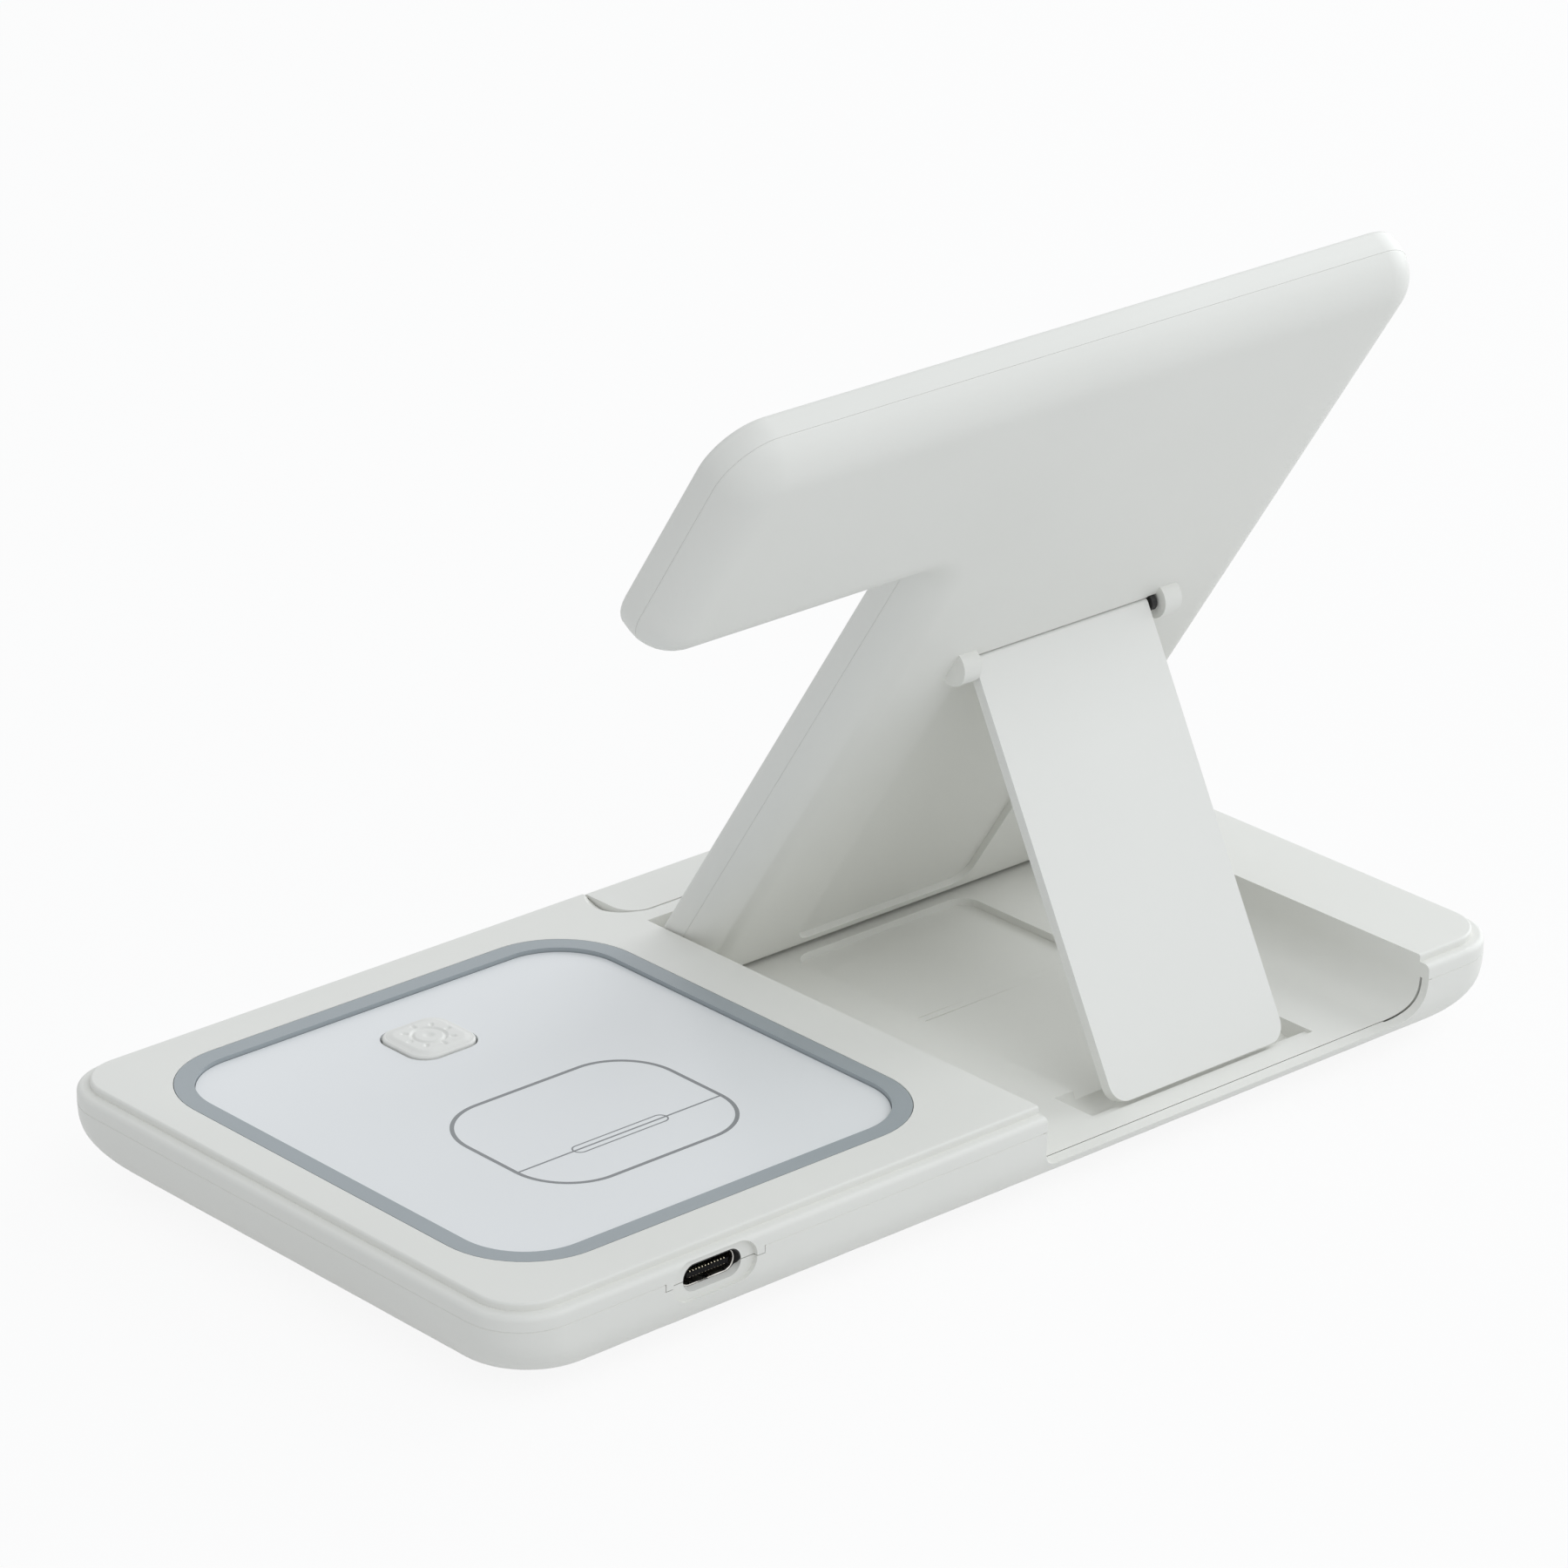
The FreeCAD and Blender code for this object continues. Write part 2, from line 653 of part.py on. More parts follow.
def phone_stop_flap():
    wire = rounded_polygon([(flap_left, flap_near), (flap_right, flap_near),
                            (flap_right, flap_axis_y), (flap_left, flap_axis_y)],
                           [flap_corner, flap_corner, 0, 0], plateau_z - flap_thickness)
    plate = Part.Face(wire).extrude(vec(0, 0, flap_thickness))
    barrel = rod_x(flap_thickness / 2, flap_left, flap_right, flap_axis_y, flap_axis_z)
    flap = plate.fuse(barrel).removeSplitter()
    return flap.cut(rod_x(flap_pin_radius + pin_run, flap_left - 1, flap_right + 1, flap_axis_y, flap_axis_z))


def flap_pin():
    return rod_x(flap_pin_radius, flap_left - flap_gap - flap_pin_grip, flap_right + flap_gap + flap_pin_grip,
                 flap_axis_y, flap_axis_z)


def rubber_feet():
    feet = []
    for x, y in foot_places():
        foot = disc(foot_radius, x, y, 0, bottom_z + foot_sink)
        feet.append(foot.makeFillet(foot_round, edges_at(foot, 0)))
    return Part.makeCompound(feet)


def panel_hinge_pins():
    left = rod_x(hinge_pin_radius, tray_left - hinge_pin_grip, stem_left + hinge_pin_reach,
                 hinge_y, hinge_z)
    right = rod_x(hinge_pin_radius, stem_right - hinge_pin_reach, tray_right + hinge_pin_grip,
                  hinge_y, hinge_z)
    return Part.makeCompound([left, right])


def panel_body():
    slab = panel_slab(0, hinge_radius, -hinge_radius, hinge_radius)
    back = [e for e in edges_at(slab, -hinge_radius) if e.BoundBox.YMin < hinge_radius - 0.01]
    slab = slab.makeFillet(back_round, back)
    front = [e for e in edges_at(slab, hinge_radius) if e.BoundBox.YMin < hinge_radius - 0.01]
    slab = slab.makeFillet(front_round, front)
    side = box(-side_length, side_length, -panel_reach - 1, 0, -hinge_radius, hinge_radius)
    side = side.fuse(rod_x(hinge_radius, -side_length, side_length, 0, 0))
    return slab.common(side)


seam_z = hinge_radius - front_cover_depth
seam_inset = back_round - sqrt(back_round ** 2 - (back_round - hinge_radius - seam_z) ** 2)
seam_end = sqrt(hinge_radius ** 2 - seam_z ** 2)
pin_bore_depth = hinge_pin_reach + hinge_pin_end_gap
pins_flat = [rod_x(hinge_pin_radius + pin_run, stem_left - 1, stem_left + pin_bore_depth, 0, 0),
             rod_x(hinge_pin_radius + pin_run, stem_right - pin_bore_depth, stem_right + 1, 0, 0)]
deep_floor_z = -hinge_radius + back_wall
shallow_floor_z = recess_z + back_wall
deep_start = -kick_axis_height - lug_radius - deep_start_gap


def panel_back_shell(body):
    shell = body.common(box(-side_length, side_length, -2 * panel_reach, outside, -outside, seam_z))
    notch = panel_slab(-1, hinge_radius + 1, seam_z - seam_notch_height, seam_z + 1)
    notch = notch.cut(panel_slab(seam_inset + seam_notch, seam_end - seam_notch, seam_z - 1, seam_z + 2))
    shell = shell.cut(notch)
    shell = shell.cut(panel_slab(back_side_wall, -back_solid_start, shallow_floor_z, seam_z + 1))
    shell = shell.cut(panel_slab(back_side_wall, deep_start, deep_floor_z, seam_z + 1))
    lugs = []
    for x0, x1 in ((lug_left_out, lug_left_in), (lug_right_in, lug_right_out)):
        lug = rod_x(lug_radius, x0, x1, kick_axis_y, -hinge_radius)
        lugs.append(lug.common(box(-side_length, side_length, -panel_reach, 0, -outside, recess_z)))
    recess = block(recess_middle, (recess_end + recess_top) / 2, recess_width, recess_end - recess_top,
                   recess_corner, -outside, recess_z)
    head = box(recess_left, lug_right_in, recess_top, kick_axis_y + recess_corner, -outside, recess_z)
    side_head = box(lug_left_in, recess_right, recess_top, kick_axis_y + recess_corner, -outside, recess_z)
    washer_room = rod_x(washer_radius + pin_run, kick_right, lug_right_in, kick_axis_y, kick_axis_z)
    shell = shell.cut(recess).cut(head).cut(side_head).cut(washer_room)
    shell = shell.fuse(lugs)
    shell = shell.cut(rod_x(kick_pin_radius + pin_fit, lug_left_out + kick_pin_skin,
                            lug_right_out - kick_pin_skin, kick_axis_y, kick_axis_z))
    for pin in pins_flat:
        shell = shell.cut(pin)
    return shell


phone_coil_height = panel_reach - phone_coil_drop
panel_board_height = kick_axis_height + panel_board_lift
watch_x = flag_left + watch_left
watch_y = -panel_reach + watch_drop
front_under = hinge_radius - front_wall


def panel_front_cover(body):
    cover = body.common(box(-side_length, side_length, -2 * panel_reach, outside, seam_z, outside))
    cover = cover.cut(panel_slab(front_side_wall, -back_solid_start, seam_z - 1, front_under))
    cover = cover.cut(disc(watch_disc_radius + watch_disc_gap, watch_x, watch_y,
                           hinge_radius - watch_disc_sink, hinge_radius + 1))
    for pin in pins_flat:
        cover = cover.cut(pin)
    return cover


def watch_disc():
    top = hinge_radius + watch_disc_proud
    plate = disc(watch_disc_radius, watch_x, watch_y, hinge_radius - watch_disc_sink, top)
    return plate.makeFillet(watch_disc_round, edges_at(plate, top))


def phone_coil():
    return flat_coil(phone_coil_radius, phone_coil_bore, tray_centre, -phone_coil_height,
                     front_under - coil_thickness, front_under)


def phone_ferrite():
    top = front_under - coil_thickness
    return disc(phone_ferrite_radius, tray_centre, -phone_coil_height, top - ferrite_thickness, top)


def watch_coil():
    return flat_coil(watch_coil_radius, watch_coil_bore, watch_x, watch_y,
                     front_under - coil_thickness, front_under)


def panel_circuit_board():
    return block(tray_centre, -panel_board_height - panel_board_width / 2, panel_board_length,
                 panel_board_width, panel_board_corner, deep_floor_z, deep_floor_z + panel_board_thickness)


# The kickstand hangs from its pin and swings out of the recess in the stem.
def swing_out(shape):
    shape.rotate(vec(0, kick_axis_y, kick_axis_z), vec(1, 0, 0), -(panel_lean + kick_lean))
    return shape


def kickstand_plate():
    half = kick_thickness / 2
    wire = rounded_polygon([(kick_left, kick_axis_y), (kick_right, kick_axis_y), (kick_right, kick_end_y),
                            (kick_left, kick_end_y)], [0, 0, kick_corner, kick_corner], kick_axis_z - half)
    plate = Part.Face(wire).extrude(vec(0, 0, kick_thickness))
    barrel = rod_x(half, kick_left, kick_right, kick_axis_y, kick_axis_z)
    plate = plate.fuse(barrel).removeSplitter()
    plate = plate.cut(rod_x(kick_pin_radius + pin_run, kick_left - 1, kick_right + 1,
                            kick_axis_y, kick_axis_z))
    return swing_out(plate)


def kickstand_pin():
    return rod_x(kick_pin_radius, lug_left_out + kick_pin_skin, lug_right_out - kick_pin_skin,
                 kick_axis_y, kick_axis_z)


def kickstand_washer():
    x0 = kick_right + (lug_right_gap - washer_thickness) / 2
    ring = rod_x(washer_radius, x0, x0 + washer_thickness, kick_axis_y, kick_axis_z)
    return ring.cut(rod_x(kick_pin_radius + pin_fit, x0 - 1, x0 + washer_thickness + 1,
                          kick_axis_y, kick_axis_z))


panel = panel_body()
nodes = {
    "base_bottom_shell": base_bottom_shell(),
    "base_top_cover": base_top_cover(),
    "light_ring": light_ring(),
    "charging_panel": charging_panel(),
    "led_board": led_board(),
    "light_button": light_button(),
    "button_switch": button_switch(),
    "main_circuit_board": main_circuit_board(),
    "board_screws": board_screws(),
    "usb_c_shell": usb_c_shell(),
    "usb_c_tongue": usb_c_tongue(),
    "earbud_coil": earbud_coil(),
    "earbud_ferrite": earbud_ferrite(),
    "phone_stop_flap": phone_stop_flap(),
    "flap_pin": flap_pin(),
    "rubber_feet": rubber_feet(),
    "panel_hinge_pins": panel_hinge_pins(),
    "panel_back_shell": stand_up(panel_back_shell(panel)),
    "panel_front_cover": stand_up(panel_front_cover(panel)),
    "watch_disc": stand_up(watch_disc()),
    "phone_coil": stand_up(phone_coil()),
    "phone_ferrite": stand_up(phone_ferrite()),
    "watch_coil": stand_up(watch_coil()),
    "panel_circuit_board": stand_up(panel_circuit_board()),
    "kickstand_plate": stand_up(kickstand_plate()),
    "kickstand_pin": stand_up(kickstand_pin()),
    "kickstand_washer": stand_up(kickstand_washer()),
}
for name, shape in nodes.items():
    shape.exportStep(os.path.join("parts", name + ".step"))
    print(name, shape.ShapeType, len(shape.Solids), shape.isValid(), round(shape.Volume, 1))
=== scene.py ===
import bpy
import bmesh
from math import cos, pi, radians, sin
from mathutils import Matrix, Vector


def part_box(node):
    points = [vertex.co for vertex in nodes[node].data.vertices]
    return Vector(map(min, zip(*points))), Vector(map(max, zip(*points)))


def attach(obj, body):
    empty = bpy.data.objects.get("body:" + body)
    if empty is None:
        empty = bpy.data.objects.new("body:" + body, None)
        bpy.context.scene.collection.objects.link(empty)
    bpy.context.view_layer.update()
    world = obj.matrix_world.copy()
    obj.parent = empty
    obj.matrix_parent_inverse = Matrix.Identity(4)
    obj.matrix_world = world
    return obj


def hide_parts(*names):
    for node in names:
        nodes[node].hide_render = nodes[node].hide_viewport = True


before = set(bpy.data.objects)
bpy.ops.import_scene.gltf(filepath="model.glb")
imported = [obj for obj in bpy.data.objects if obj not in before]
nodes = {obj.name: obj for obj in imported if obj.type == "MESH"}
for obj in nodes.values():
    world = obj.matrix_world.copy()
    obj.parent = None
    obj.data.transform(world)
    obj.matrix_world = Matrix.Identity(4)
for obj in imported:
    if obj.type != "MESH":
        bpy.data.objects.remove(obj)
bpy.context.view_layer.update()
mm = 0.001
print("frame loaded:", len(nodes), "nodes")


def hexColor(code):
    # sRGB hex to the linear values that shaders use
    out = []
    for i in (0, 2, 4):
        c = int(code[i:i + 2], 16) / 255
        out.append(c / 12.92 if c <= 0.04045 else ((c + 0.055) / 1.055) ** 2.4)
    return (*out, 1.0)


def addNode(tree, kind, inputs=None, **settings):
    node = tree.nodes.new(kind)
    for name, value in settings.items():
        setattr(node, name, value)
    for name, value in (inputs or {}).items():
        if isinstance(value, bpy.types.NodeSocket):
            tree.links.new(value, node.inputs[name])
        else:
            node.inputs[name].default_value = value
    return node


def newMaterial(name):
    mat = bpy.data.materials.new(name)
    mat.use_nodes = True
    mat.node_tree.nodes.clear()
    return mat, mat.node_tree


# Camera, at the photograph's place: a 165 mm lens on a square 36 mm frame
viewpoint = {
    "place": (-0.570025, -0.617945, 0.4052),
    "right": (0.74042769, -0.67201844, 0.01257177),
    "down": (-0.25704662, -0.30039641, -0.91852547),
    "forward": (0.62104256, 0.67687016, -0.39516189),
    "lens": 165.47,
    "sensor": 36,
    "clip": (0.05, 50),
}
camData = bpy.data.cameras.new("stationCamera")
camData.sensor_width = viewpoint["sensor"]
camData.lens = viewpoint["lens"]
camData.clip_start, camData.clip_end = viewpoint["clip"]
camera = bpy.data.objects.new("stationCamera", camData)
axes = Matrix((viewpoint["right"], -Vector(viewpoint["down"]), -Vector(viewpoint["forward"]))).transposed()
camera.matrix_world = Matrix.Translation(viewpoint["place"]) @ axes.to_4x4()
bpy.context.scene.collection.objects.link(camera)
bpy.context.scene.camera = camera
bpy.context.scene.view_settings.view_transform = "Standard"

# Studio: pale floor, an even sky, and two big softboxes: above the near side, and low on the right
studio = {
    "floorSize": 12.0,
    "floorColour": "eeeeee",
    "floorWhite": 0.9,  # share of plain white in what is seen of the floor; the rest keeps the shadow
    "backdrop": "ffffff",
    "backdropStrength": 1.0,  # 1 is white
    "sky": 0.59,
    "lightColour": "f9fcff",
    "aim": (0.0, 0.0, 0.04),
    "boxes": {
        "nearSoftbox": {"place": (0.0, -0.9, 1.1), "size": 1.0, "watts": 4.4},
        "rightSoftbox": {"place": (1.4, 0.0, 0.6), "size": 1.2, "watts": 10.4},
    },
}


def seenRays(tree):
    # 1 for a ray from the camera, a reflection or a view through glass, and 0 for diffuse light
    rays = addNode(tree, "ShaderNodeLightPath")
    seen = addNode(tree, "ShaderNodeMath", {
        0: rays.outputs["Is Camera Ray"], 1: rays.outputs["Is Glossy Ray"]}, operation="MAXIMUM")
    seen = addNode(tree, "ShaderNodeMath", {
        0: seen.outputs[0], 1: rays.outputs["Is Transmission Ray"]}, operation="MAXIMUM")
    return seen.outputs[0]


bm = bmesh.new()
bmesh.ops.create_grid(bm, x_segments=1, y_segments=1, size=studio["floorSize"] / 2)
floorMesh = bpy.data.meshes.new("paleFloor")
bm.to_mesh(floorMesh)
bm.free()
floor = bpy.data.objects.new("paleFloor", floorMesh)
bpy.context.scene.collection.objects.link(floor)

# studio paper: uncoated, so an even matte white
backdropWhite = {"Color": hexColor(studio["backdrop"]), "Strength": studio["backdropStrength"]}
mat, tree = newMaterial("Pale studio paper")
share = addNode(tree, "ShaderNodeMath", {0: seenRays(tree), 1: studio["floorWhite"]}, operation="MULTIPLY")
paper = addNode(tree, "ShaderNodeBsdfDiffuse", {"Color": hexColor(studio["floorColour"])})
bright = addNode(tree, "ShaderNodeEmission", backdropWhite)
both = addNode(tree, "ShaderNodeMixShader", {0: share.outputs[0], 1: paper.outputs[0], 2: bright.outputs[0]})
addNode(tree, "ShaderNodeOutputMaterial", {"Surface": both.outputs[0]})
floorMesh.materials.append(mat)

world = bpy.data.worlds.new("studioSky")
world.use_nodes = True
bpy.context.scene.world = world
tree = world.node_tree
tree.nodes.clear()
sky = addNode(tree, "ShaderNodeBackground", {
    "Color": hexColor(studio["lightColour"]), "Strength": studio["sky"]})
white = addNode(tree, "ShaderNodeBackground", backdropWhite)
shown = addNode(tree, "ShaderNodeMixShader", {0: seenRays(tree), 1: sky.outputs[0], 2: white.outputs[0]})
addNode(tree, "ShaderNodeOutputWorld", {"Surface": shown.outputs[0]})

for name, spec in studio["boxes"].items():
    lamp = bpy.data.lights.new(name, "AREA")
    lamp.shape = "SQUARE"
    lamp.size = spec["size"]
    lamp.energy = spec["watts"]
    lamp.color = hexColor(studio["lightColour"])[:3]
    box = bpy.data.objects.new(name, lamp)
    box.location = spec["place"]
    toward = Vector(studio["aim"]) - Vector(spec["place"])
    box.rotation_euler = toward.to_track_quat("-Z", "Y").to_euler()
    bpy.context.scene.collection.objects.link(box)
print("camera and studio placed")

# Moulded and coated surfaces: a faint grit breaks up the highlights, and the tone drifts slowly over patches
moulding = {
    "patchMm": 45, "patchDetail": 2.0, "patchEdges": (0.3, 0.7),
    "gritDetail": 3.0, "gritFall": 0.6, "roughSpread": 0.05, "bump": 0.5, "ior": 1.53,
}


def mouldedPlastic(name, colour, shade, roughness, gritMm, gritHeightMm, specular=0.5):
    mat, tree = newMaterial(name)
    coords = addNode(tree, "ShaderNodeTexCoord")
    tone = addNode(tree, "ShaderNodeTexNoise", {
        "Vector": coords.outputs["Object"], "Scale": 1 / (moulding["patchMm"] * mm),
        "Detail": moulding["patchDetail"]})
    blend = addNode(tree, "ShaderNodeValToRGB", {"Fac": tone.outputs["Fac"]})
    for i, code in enumerate((shade, colour)):
        blend.color_ramp.elements[i].position = moulding["patchEdges"][i]
        blend.color_ramp.elements[i].color = hexColor(code)
    grit = addNode(tree, "ShaderNodeTexNoise", {
        "Vector": coords.outputs["Object"], "Scale": 1 / (gritMm * mm), "Detail": moulding["gritDetail"],
        "Roughness": moulding["gritFall"]})
    rough = addNode(tree, "ShaderNodeMapRange", {
        "Value": grit.outputs["Fac"], "To Min": roughness - moulding["roughSpread"],
        "To Max": roughness + moulding["roughSpread"]})
    bump = addNode(tree, "ShaderNodeBump", {
        "Height": grit.outputs["Fac"], "Strength": moulding["bump"], "Distance": gritHeightMm * mm})
    skin = addNode(tree, "ShaderNodeBsdfPrincipled", {
        "Base Color": blend.outputs[0], "IOR": moulding["ior"], "Specular IOR Level": specular,
        "Roughness": rough.outputs[0], "Normal": bump.outputs[0]})
    addNode(tree, "ShaderNodeOutputMaterial", {"Surface": skin.outputs[0]})
    return mat


# all grit is drawn at 0.3 to 0.6 mm, coarser than the real one, so that it shows
# shells: an etched mould gives a soft warm white with no clear reflection
absWhite = mouldedPlastic("Moulded ABS, fine matte white", "ecece7", "e9e9e4", 0.48, 0.35, 0.004)
# kickstand, button and watch disc: a finer mould gives the same white a slight sheen
absSatin = mouldedPlastic("Moulded ABS, satin white", "ecece8", "eaeae6", 0.40, 0.35, 0.003)
# charging pad: smooth rolled sheet, a cooler white that mirrors its surroundings softly
padSheet = mouldedPlastic("Polycarbonate sheet, satin cool white", "edeff0", "ebedee", 0.32, 0.5, 0.0002)
# light ring: milky all through, so an even blue-grey while its lamps are off
diffuser = mouldedPlastic("Opal polycarbonate, unlit grey", "a1a9ad", "9da5a9", 0.38, 0.5, 0.0003)
# case mark: a thin dry film, so a flat grey line
printGrey = mouldedPlastic("Screen-printed ink, mid grey", "8d9092", "888b8d", 0.45, 0.3, 0.002)
# feet and washer: a blasted mould gives a dull charcoal; the same black is also used as painted shade in the
# inlet's gap
blackRubber = mouldedPlastic("Moulded rubber, black", "262626", "202020", 0.6, 0.4, 0.02)
# inlet's tongue and the switch: a deep black of their own that hardly shines; the shine is turned down below
# the plastic's own as painted shade, for the tongue sits in the inlet's shade
blackNylonWithPaintedShade = mouldedPlastic("Glass-filled nylon, black, shine cut as painted shade", "0b0b0c", "08080a", 0.6, 0.3, 0.004, 0.12)
# circuit boards: a flowed lacquer, so a glossy green
boardMask = mouldedPlastic("Solder mask, green", "1f6b3c", "1b6036", 0.3, 0.6, 0.003)
# ferrites: pressed and fired powder, so a dull grainy grey
ferriteGrey = mouldedPlastic("Sintered ferrite, dark grey", "3a3b3d", "333436", 0.7, 0.4, 0.01)

# Drawn and plated metals: fine lines along the drawing direction streak the highlights
drawing = {
    "stretch": (1.0, 0.05, 1.0), "lineDetail": 4.0, "lineHeightMm": 0.004,
    "roughSpread": 0.07, "bump": 0.3,
}


def drawnMetal(name, colour, roughness, lineMm):
    mat, tree = newMaterial(name)
    coords = addNode(tree, "ShaderNodeTexCoord")
    along = addNode(tree, "ShaderNodeMapping", {
        "Vector": coords.outputs["Object"], "Scale": drawing["stretch"]})
    lines = addNode(tree, "ShaderNodeTexNoise", {
        "Vector": along.outputs[0], "Scale": 1 / (lineMm * mm), "Detail": drawing["lineDetail"]})
    rough = addNode(tree, "ShaderNodeMapRange", {
        "Value": lines.outputs["Fac"], "To Min": roughness - drawing["roughSpread"],
        "To Max": roughness + drawing["roughSpread"]})
    bump = addNode(tree, "ShaderNodeBump", {
        "Height": lines.outputs["Fac"], "Strength": drawing["bump"],
        "Distance": drawing["lineHeightMm"] * mm})
    skin = addNode(tree, "ShaderNodeBsdfPrincipled", {
        "Base Color": hexColor(colour), "Metallic": 1.0, "Roughness": rough.outputs[0],
        "Normal": bump.outputs[0]})
    addNode(tree, "ShaderNodeOutputMaterial", {"Surface": skin.outputs[0]})
    return mat


# lines are drawn at 0.2 to 0.4 mm, coarser than the real ones, so that they show
# inlet shell, pins and screws: bright plating, a clear warm grey shine
nickelSteel = drawnMetal("Nickel-plated steel", "c9c7c2", 0.28, 0.25)
# coils: drawn wire under clear enamel, a reddish shine
copperWire = drawnMetal("Enamelled copper wire", "b8703f", 0.35, 0.4)
# contact tips: a thin flash of gold, pale sparkles in the dark
goldPlate = drawnMetal("Gold-plated contact", "e8dfc6", 0.25, 0.2)
print("materials made")

finishes = {
    absWhite: ["base_bottom_shell", "base_top_cover", "phone_stop_flap", "panel_back_shell",
               "panel_front_cover"],
    absSatin: ["kickstand_plate", "light_button", "watch_disc"],
    padSheet: ["charging_panel"],
    diffuser: ["light_ring"],
    blackRubber: ["rubber_feet", "kickstand_washer"],
    blackNylonWithPaintedShade: ["usb_c_tongue", "button_switch"],
    boardMask: ["led_board", "main_circuit_board", "panel_circuit_board"],
    ferriteGrey: ["earbud_ferrite", "phone_ferrite"],
    nickelSteel: ["usb_c_shell", "board_screws", "flap_pin", "panel_hinge_pins", "kickstand_pin"],
    copperWire: ["earbud_coil", "phone_coil", "watch_coil"],
}

# The solids' faces shade smoothly, except across an edge that turns by more than the crease angle
softShade = {"creaseDegrees": 32, "weldMm": 0.002}
shadeTree = bpy.data.node_groups.new("softShade", "GeometryNodeTree")
for way in ("INPUT", "OUTPUT"):
    shadeTree.interface.new_socket("Geometry", in_out=way, socket_type="NodeSocketGeometry")
solid = addNode(shadeTree, "NodeGroupInput")
plain = addNode(shadeTree, "GeometryNodeRemoveAttribute",
                {"Geometry": solid.outputs[0], "Name": "custom_normal"})
welded = addNode(shadeTree, "GeometryNodeMergeByDistance",
                 {"Geometry": plain.outputs[0], "Distance": softShade["weldMm"] * mm})
smooth = addNode(shadeTree, "GeometryNodeSetShadeSmooth",
                 {"Geometry": welded.outputs[0], "Shade Smooth": True}, domain="FACE")
turn = addNode(shadeTree, "GeometryNodeInputMeshEdgeAngle")
crease = addNode(shadeTree, "FunctionNodeCompare",
                 {0: turn.outputs[0], 1: radians(softShade["creaseDegrees"])}, operation="GREATER_THAN")
creased = addNode(shadeTree, "GeometryNodeSetShadeSmooth",
                  {"Geometry": smooth.outputs[0], "Selection": crease.outputs[0], "Shade Smooth": False},
                  domain="EDGE")
addNode(shadeTree, "NodeGroupOutput", {0: creased.outputs[0]})

for finish, names in finishes.items():
    for name in names:
        node = nodes[name]
        node.data.materials.clear()
        node.data.materials.append(finish)
        shade = node.modifiers.new("softShade", "NODES")
        shade.node_group = shadeTree
print("solids finished")


def meshPiece(name, bm, finish, body):
    mesh = bpy.data.meshes.new(name)
    bmesh.ops.recalc_face_normals(bm, faces=bm.faces)
    bm.to_mesh(mesh)
    bm.free()
    mesh.materials.append(finish)
    piece = bpy.data.objects.new(name, mesh)
    bpy.context.scene.collection.objects.link(piece)
    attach(piece, body)
    return piece


samePoint = 1e-4  # mm; points nearer than this are one


def roundedLoop(cx, cy, length, width, corner, turns):
    # a round-cornered rectangle, turns steps to each corner
    points = []
    for sx, sy, start in ((1, 1, 0), (-1, 1, 90), (-1, -1, 180), (1, -1, 270)):
        ox = cx + sx * (length / 2 - corner)
        oy = cy + sy * (width / 2 - corner)
        for i in range(turns + 1):
            a = radians(start + 90 * i / turns)
            point = Vector((ox + corner * cos(a), oy + corner * sin(a)))
            # arcs that meet, as at a pill's ends, share their point
            if not points or (point - points[-1]).length > samePoint:
                points.append(point)
    if (points[0] - points[-1]).length < samePoint:
        points.pop()
    return points


def inkLine(bm, place, length, width, corner, line, height, turns):
    # a closed printed line, its outer edge as given and its inner edge one line width inside that
    x0, y0, z = place
    outer = roundedLoop(x0, y0, length, width, corner, turns)
    inner = roundedLoop(x0, y0, length - 2 * line, width - 2 * line, corner - line, turns)
    rings = []
    for loop, level in ((outer, z), (outer, z + height), (inner, z + height), (inner, z)):
        rings.append([bm.verts.new((x * mm, y * mm, level * mm)) for x, y in loop])
    count = len(outer)
    for a in range(len(rings)):
        one = rings[a]
        two = rings[(a + 1) % len(rings)]
        for i in range(count):
            j = (i + 1) % count
            bm.faces.new((one[i], one[j], two[j], two[i]))


def flatBar(bm, x0, x1, y0, y1, z, height):
    made = bmesh.ops.create_cube(bm, size=1.0)
    bmesh.ops.scale(bm, vec=((x1 - x0) * mm, (y1 - y0) * mm, height * mm), verts=made["verts"])
    place = Vector(((x0 + x1) / 2 * mm, (y0 + y1) / 2 * mm, (z + height / 2) * mm))
    bmesh.ops.translate(bm, vec=place, verts=made["verts"])


def sweptBand(bm, rings):
    # an open band: its section's corners each run along one ring of points, and both ends are closed
    lines = []
    for ring in rings:
        lines.append([bm.verts.new((x * mm, y * mm, z * mm)) for x, y, z in ring])
    count = len(lines[0])
    for a in range(len(lines)):
        one = lines[a]
        two = lines[(a + 1) % len(lines)]
        for i in range(count - 1):
            bm.faces.new((one[i], one[i + 1], two[i + 1], two[i]))
    for end in (0, count - 1):
        bm.faces.new([line[end] for line in lines])


def roundedPath(points, radii, turns):
    # an open path of straight runs at right angles, each inner point rounded by its own radius
    path = [points[0]]
    for i, radius in enumerate(radii):
        before = Vector(points[i])
        here = Vector(points[i + 1])
        after = Vector(points[i + 2])
        back = (before - here).normalized()
        on = (after - here).normalized()
        centre = here + (back + on) * radius
        for k in range(turns + 1):
            a = pi / 2 * k / turns
            path.append(tuple(centre - on * radius * cos(a) - back * radius * sin(a)))
    path.append(points[-1])
    return path


